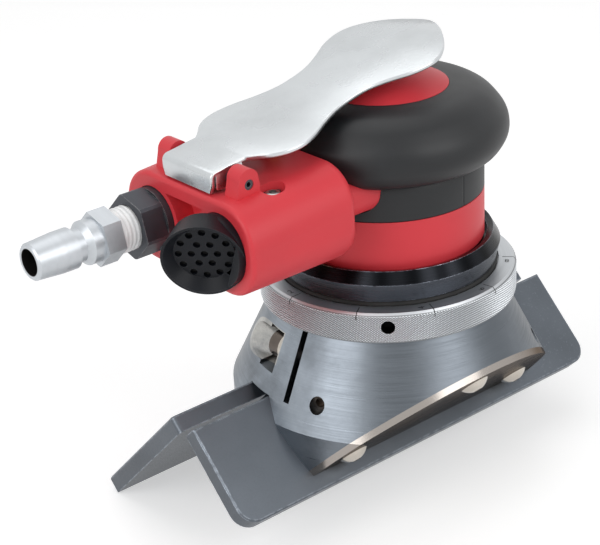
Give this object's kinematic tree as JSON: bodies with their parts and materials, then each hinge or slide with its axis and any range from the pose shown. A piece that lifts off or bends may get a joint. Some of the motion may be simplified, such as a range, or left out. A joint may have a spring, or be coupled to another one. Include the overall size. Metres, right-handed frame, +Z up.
{
  "type": "pneumatic edge chamfering tool",
  "caption": "Palm-grip pneumatic motor with spoon lever, air plug and muffler on a turned guide body with a depth ring and an inverted-V edge guide.",
  "frame": {"origin": "on the spindle axis, at the plane of the cutting edges", "axes": "+Z up along the spindle towards the lever; +X along the edge guide, away from the air plug; +Y towards the wide guide plate"},
  "size_m": [0.1897, 0.0961, 0.1459],
  "materials": {
    "bright_steel": "polished",
    "plated_steel": "satin",
    "satin_steel": "satin",
    "turned_steel": "turned",
    "blued_steel": "ground",
    "dark_steel": "blackened",
    "housing_red": "satin",
    "cast_metal": "satin",
    "rubber_black": "matte",
    "black_plastic": "matte",
    "brass": "satin",
    "carbide": "coated",
    "tape_white": "matte",
    "vane_resin": "matte",
    "felt": "matte"
  },
  "bodies": {
    "tool": {"housing": "housing_red", "grip": "rubber_black", "clamp_ring": "dark_steel", "clamp_screw": "dark_steel", "friction_ring": "rubber_black", "nose_sleeve": "turned_steel", "guide_key": "turned_steel", "motor_cylinder": "turned_steel", "lower_end_plate": "cast_metal", "upper_end_plate": "cast_metal", "lower_bearing_outer_race": "bright_steel", "upper_bearing_outer_race": "bright_steel", "lever_pin": "bright_steel", "valve_bushing": "brass", "valve_seat": "brass", "valve_cap": "brass", "valve_spring": "bright_steel", "inlet_bushing": "dark_steel", "air_plug": "plated_steel", "thread_tape": "tape_white", "inlet_seal": "rubber_black", "inlet_strainer": "brass", "regulator_clip": "dark_steel"},
    "spindle_unit": {"spindle": "turned_steel", "rotor": "turned_steel", "rotor_key": "turned_steel", "rotor_vanes": "vane_resin", "lower_bearing_inner_race": "bright_steel", "upper_bearing_inner_race": "bright_steel", "lower_bearing_balls": "bright_steel", "upper_bearing_balls": "bright_steel", "cutter_head": "dark_steel", "cutter_inserts": "carbide", "insert_screws": "dark_steel", "cutter_bolt": "dark_steel"},
    "lever_unit": {"lever": "bright_steel"},
    "valve_unit": {"valve_stem": "brass"},
    "muffler_unit": {"muffler_elbow": "black_plastic", "muffler_grille": "black_plastic", "muffler_felt": "felt", "muffler_seal": "rubber_black"},
    "regulator_unit": {"regulator_screw": "dark_steel"},
    "ring_unit": {"depth_ring": "satin_steel"},
    "guide_unit": {"guide_body": "turned_steel", "near_guide_plate": "blued_steel", "far_guide_plate": "blued_steel", "side_cover": "bright_steel", "cover_screws": "bright_steel", "plate_screws": "dark_steel", "set_screws": "dark_steel", "kerf_screw": "bright_steel", "kerf_washer": "bright_steel"}
  },
  "joints": [
    {"name": "spindle_turn", "type": "hinge", "parent": "tool", "child": "spindle_unit", "pos_m": [0, 0, 0], "axis": [0, 0, 1], "continuous": true},
    {"name": "lever_press", "type": "hinge", "parent": "tool", "child": "lever_unit", "pos_m": [-0.0663, 0, 0.0862], "axis": [0, 1, 0], "range_deg": [0, 3], "stiffness_Nm_per_rad": 5, "springref_deg": -2.86},
    {"name": "valve_slide", "type": "slide", "parent": "tool", "child": "valve_unit", "axis": [0, 0, -1], "range_m": [0, 0.0013], "deforming": ["valve_spring"]},
    {"name": "ring_turn", "type": "hinge", "parent": "tool", "child": "ring_unit", "pos_m": [0, 0, 0.03185], "axis": [0, 0, 1], "range_deg": [0, 360]},
    {"name": "guide_slide", "type": "slide", "parent": "tool", "child": "guide_unit", "axis": [0, 0, -1], "range_m": [0, 0.0021]},
    {"name": "muffler_swivel", "type": "hinge", "parent": "tool", "child": "muffler_unit", "pos_m": [-0.07375, -0.0155, 0.0691], "axis": [1, 0, 0], "continuous": true},
    {"name": "regulator_turn", "type": "hinge", "parent": "tool", "child": "regulator_unit", "pos_m": [-0.059, -0.0193, 0.0796], "axis": [0, 0, 1], "range_deg": [0, 270]}
  ],
  "couplings": [
    {"joint": "valve_slide", "follows": "lever_press", "m_per_rad": 0.0223},
    {"joint": "guide_slide", "follows": "ring_turn", "m_per_rad": 0.00031831}
  ]
}
